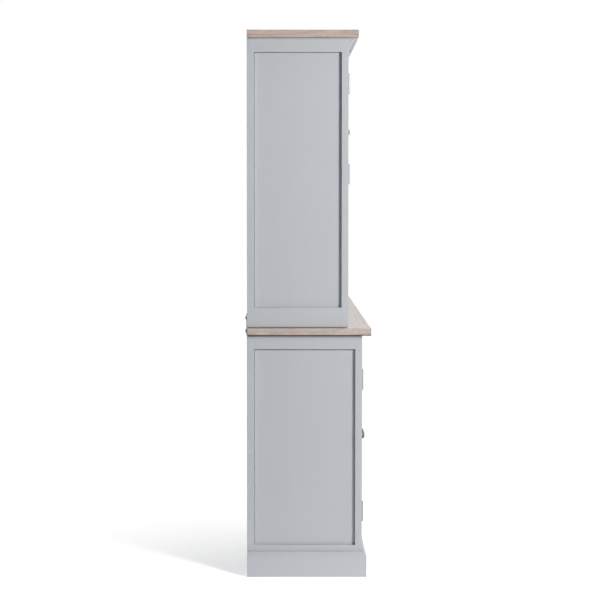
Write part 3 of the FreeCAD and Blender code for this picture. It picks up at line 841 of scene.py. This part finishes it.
knob_metal = blackened_metal()
knob_radius_shares = (0.6, 0.62, 0.6, 0.47, 0.39, 0.37, 0.39, 0.52, 0.8, 0.97, 1.0, 0.99, 0.92, 0.7, 0.25)
knob_rise_shares = (0.0, 0.04, 0.08, 0.12, 0.18, 0.28, 0.38, 0.46, 0.54, 0.61, 0.69, 0.8, 0.91, 0.98, 1.0)
rubbing_falloff = 3
knob_screw = cross_screw("knob_screw", radius=0.0042, rise=0.0022, shank_radius=0.0018, shank_length=0.006)
for door in sorted(joint_of):
    low, high = (Vector(corner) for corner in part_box(door + "_knob"))
    x, y, z = middle(low, high)
    radius = (high.x - low.x) / 2.0
    reach = high.y - low.y
    profile = [(share * radius, rise * reach) for share, rise in zip(knob_radius_shares, knob_rise_shares)]
    solid = turned(profile, sides=28)
    on_to_door = Matrix.Translation((x, high.y, z)) @ Matrix.Rotation(math.pi / 2.0, 4, "X")
    bmesh.ops.transform(solid, verts=solid.verts, matrix=on_to_door)
    mesh = as_model(solid, door + "_knob", crease=60.0)
    centre = Vector((x, z))
    rubbed = [((vert.co.xz - centre).length / radius) ** rubbing_falloff for vert in mesh.vertices]
    note(mesh, "rubbed", "FLOAT", "POINT", rubbed)
    knob = as_piece(door + "_turned_knob", mesh, knob_metal)
    rounding = knob.modifiers.new("rounding", "SUBSURF")
    rounding.levels = rounding.render_levels = 1
    set_in(knob, "knob_metal", door + "_knob")
    spot = ((x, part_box(door + "_frame")[1][1], z), backward)
    screw = set_out(door + "_knob_screw", [spot], knob_screw, bright_zinc, turn=math.pi, seed=7)
    set_in(screw, "hinge_metal", body=door)


# Catches: a moulded magnetic catch behind the rail over each door, held by two screws, and a thin
# steel strike plate let on to the back of the door to meet it.
catch_white = (0.74, 0.73, 0.69)
catch_dust = (0.66, 0.645, 0.6)


def moulded_plastic():
    """Off-white plastic with the fine grain of its mould and a little dust."""
    plastic = Nodes(bpy.data.materials.new("moulded_catch_plastic"))
    place = plastic.own_place()
    grain = plastic.mottle(place, grains=(1400.0, 1400.0, 1400.0), detail=1.0)
    dust = plastic.mottle(place, grains=(60.0, 60.0, 60.0), detail=3.0)
    return plastic.coat({
        "Base Color": plastic.mixed(dust, catch_white, catch_dust),
        "Roughness": 0.42 + grain * 0.16,
        "Specular IOR Level": 0.4,
        "Normal": plastic.bump(grain, depth=0.0001, strength=0.25),
    })


catch_ease = 0.0006
dress("door_catches", moulded_plastic(), "catch_plastic", catch_ease)
catch_screw = cross_screw("catch_screw", radius=0.0028, rise=0.0012, shank_radius=0.0011,
                          shank_length=0.004)
catch_screw_shares = (0.25, 0.75)
catch_screw_height_share = 0.65
catch_overlap_limit = 0.05
strike_thickness = 0.0002
strike_margin = 0.003
strike_corner = 0.0015
strike_corner_steps = 3


def strike_plate(name, half_width, half_height):
    """Thin plate with rounded corners, standing on Z = 0."""
    plate = bmesh.new()
    outline = []
    for across, up, first in ((1, 1, 0.0), (-1, 1, 90.0), (-1, -1, 180.0), (1, -1, 270.0)):
        for step in range(strike_corner_steps + 1):
            angle = math.radians(first + 90.0 * step / strike_corner_steps)
            outline.append((across * (half_width - strike_corner) + strike_corner * math.cos(angle),
                            up * (half_height - strike_corner) + strike_corner * math.sin(angle)))
    closed(plate, [ring(plate, outline, height) for height in (0.0, strike_thickness)])
    return as_model(plate, name)


def door_met_at(x, z):
    """The door whose width holds an X and whose top is near a height."""
    for door in joint_of:
        low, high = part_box(door + "_frame")
        if low[0] < x < high[0] and abs(high[2] - z) < catch_overlap_limit:
            return door


catch_screws = []
for low, high in extents("door_catches"):
    screw_z = low.z + catch_screw_height_share * (high.z - low.z)
    for share in catch_screw_shares:
        catch_screws.append(((low.x + share * (high.x - low.x), high.y, screw_z), backward))
    x = middle(low, high)[0]
    door = door_met_at(x, low.z)
    door_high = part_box(door + "_frame")[1]
    half_width = (high.x - low.x) / 2.0 - strike_margin
    half_height = (door_high[2] - low.z - strike_margin) / 2.0
    spot = ((x, door_high[1], (door_high[2] + low.z) / 2.0), backward)
    plate = strike_plate("strike", half_width, half_height)
    set_in(set_out(door + "_strike_plate", [spot], plate, bright_zinc), "hinge_metal", body=door)
screws = set_out("catch_screws", catch_screws, catch_screw, bright_zinc, turn=math.pi, seed=9)
set_in(screws, "hinge_metal", body=body_of["door_catches"])


# Joining plates: two strips of steel sprayed with the carcass, each held at the back to the worktop
# and to a post of the hutch by black screws, so that the two halves can be parted for carrying.
plate_ease = 0.0005
painted("joining_plates", plate_ease)
screw_black = (0.014, 0.014, 0.015)
screw_bloom = (0.03, 0.03, 0.031)
screw_scuffed = (0.2, 0.19, 0.18)


def black_zinc():
    """Black-passivated zinc, scuffed to grey in places."""
    zinc = Nodes(bpy.data.materials.new("black_zinc"))
    place = zinc.own_place()
    bloom = zinc.mottle(place, grains=(420.0, 420.0, 420.0))
    scuffs = zinc.mottle(place, grains=(260.0, 260.0, 260.0), detail=4.0)
    black = zinc.mixed(bloom, screw_black, screw_bloom)
    return zinc.coat({
        "Base Color": zinc.mixed(zinc.band(scuffs, 0.58, 0.7) * 0.5, black, screw_scuffed),
        "Roughness": 0.36 + scuffs * 0.2,
        "Normal": zinc.bump(bloom, depth=0.0002, strength=0.2),
    })


plate_screw_rise = 0.0035
plate_screw = cross_screw("plate_screw", radius=0.0065, rise=plate_screw_rise, shank_radius=0.0022,
                          shank_length=0.018)
plate_screws = []
for low, high in extents("joining_screws"):
    x, y, z = middle(low, high)
    plate_screws.append(((x, high.y - plate_screw_rise, z), backward))
screws = set_out("domed_joining_screws", plate_screws, plate_screw, black_zinc(), turn=math.pi, seed=11)
set_in(screws, "plate_metal", "joining_screws")


# Floor, background, light and camera: a white studio floor that keeps the cupboard's shadow and throws
# a little light up at its foot, a tall softbox in front and to the near side, another overhead, a pale
# far corner of the room that lights the back, and the camera level with the upper cupboards.
bpy.context.scene.view_settings.view_transform = "Standard"
floor_white = (0.93, 0.93, 0.935)
floor_reach = 30.0
floor_glow = 1.02
glow_lost_in_shadow = 0.5
foot_half_width = cad_bounds[1][0]
foot_half_depth = cad_bounds[1][1]
foot_light = 0.3
foot_light_reach = 0.6
shadow_depth = 1.16
shadow_reach = 0.9
far_end_start = 0.25
lost_behind_far_end = 0.95


def seen_directly(finish):
    """1 for what the camera sees, also through glass or in a mirror, and 0 for scattered light."""
    straight = finish.node("ShaderNodeLightPath", output="Is Camera Ray")
    mirrored = straight.other("Is Glossy Ray") + straight.other("Is Transmission Ray")
    return finish.node("ShaderNodeMath", {"operation": "ADD", "use_clamp": True},
                       {0: straight, 1: mirrored})


def white_floor():
    """White close to 1 all over, which takes the cupboard's shadow within a step of its foot, less of
    it behind the far end, and lights the foot."""
    floor = Nodes(bpy.data.materials.new("white_studio_floor"))
    x = floor.node("ShaderNodeSeparateXYZ", sockets={"Vector": floor.own_place()})
    y = x.other("Y")
    steps = [floor.node("ShaderNodeMath", {"operation": "ABSOLUTE"}, {0: part}) - half
             for part, half in ((x, foot_half_width), (y, foot_half_depth))]
    outside = [floor.node("ShaderNodeMath", {"operation": "MAXIMUM"}, {0: step, 1: 0.0}) for step in steps]
    away = (outside[0] * outside[0] + outside[1] * outside[1]) ** 0.5
    seen = seen_directly(floor)
    far_end = floor.band(x, -foot_half_width, far_end_start)
    behind = floor.band(y, 0.0, foot_half_depth)
    beside = 1.0 - floor.band(away, 0.0, shadow_reach)
    shadow = shadow_depth * beside * (1.0 - lost_behind_far_end * behind * far_end)
    thrown_up = foot_light - foot_light * floor.band(away, 0.0, foot_light_reach)
    share = 1.0 - seen + seen * shadow
    lit = floor.node("ShaderNodeBsdfDiffuse",
                     sockets={"Color": floor.mixed(1.0, floor_white, share, "MULTIPLY")})
    own_light = seen * (floor_glow - shadow * glow_lost_in_shadow) + (1.0 - seen) * thrown_up
    white = (1.0, 1.0, 1.0)
    glow = floor.node("ShaderNodeEmission", sockets={
        "Color": floor.mixed(1.0, white, own_light, "MULTIPLY"), "Strength": 1.0})
    both = floor.node("ShaderNodeAddShader", sockets={0: lit, 1: glow})
    floor.node("ShaderNodeOutputMaterial", sockets={"Surface": both})
    return floor.owner


floor_corners = [(x * floor_reach, y * floor_reach, 0.0) for x, y in ((-1, -1), (1, -1), (1, 1), (-1, 1))]
floor_mesh = bpy.data.meshes.new("floor")
floor_mesh.from_pydata(floor_corners, [], [(0, 1, 2, 3)])
as_piece("floor", floor_mesh, white_floor())

far_corner = (0.75, 0.66, 0.0)
fill_strength = 5.4
fill_spread = (0.35, 0.95)
fill_top = (0.1, 0.45)
world = bpy.data.worlds.new("white_room")
bpy.context.scene.world = world
room = Nodes(world)
outward = room.node("ShaderNodeTexCoord", output="Generated")
toward_corner = room.node("ShaderNodeVectorMath", {"operation": "DOT_PRODUCT"},
                          {0: outward, 1: far_corner}, output="Value")
upward = room.node("ShaderNodeSeparateXYZ", sockets={"Vector": outward}, output="Z")
fill = room.band(toward_corner, *fill_spread) * (1.0 - room.band(upward, *fill_top)) * fill_strength
seen = seen_directly(room)
sky = room.node("ShaderNodeBackground", sockets={
    "Color": (1.0, 1.0, 1.0), "Strength": seen + (1.0 - seen) * fill})
room.node("ShaderNodeOutputWorld", sockets={"Surface": sky})


def softbox(name, width, height, watts, place, aim):
    """A soft rectangular lamp at a place, turned to a point."""
    lamp = bpy.data.lights.new(name, "AREA")
    lamp.shape = "RECTANGLE"
    lamp.size = width
    lamp.size_y = height
    lamp.energy = watts
    lamp_object = bpy.data.objects.new(name, lamp)
    turn = (Vector(aim) - Vector(place)).to_track_quat("-Z", "Y").to_matrix().to_4x4()
    lamp_object.matrix_world = Matrix.Translation(place) @ turn
    bpy.context.scene.collection.objects.link(lamp_object)


softbox("tall_softbox", width=0.8, height=2.2, watts=206.5,
        place=(-4.01, -3.18, 2.52), aim=(-0.8, 0.0, 1.1))
softbox("overhead_softbox", width=2.4, height=2.4, watts=58.0,
        place=(-0.6, -0.9, 4.4), aim=(-0.3, -0.1, 0.5))

camera_place = (-5.944, 0.1022, 1.397)
camera_heading = math.radians(-90.0)
camera_droop = math.radians(1.94)
level_camera = math.radians(90.0)
camera = bpy.data.cameras.new("camera")
camera.sensor_width = 36.0
camera.lens = 82.92
camera.shift_x = 0.0391
camera.shift_y = -0.0993
camera_object = bpy.data.objects.new("camera", camera)
camera_object.matrix_world = (Matrix.Translation(camera_place)
                              @ Matrix.Rotation(camera_heading, 4, "Z")
                              @ Matrix.Rotation(level_camera - camera_droop, 4, "X"))
bpy.context.scene.collection.objects.link(camera_object)
bpy.context.scene.camera = camera_object
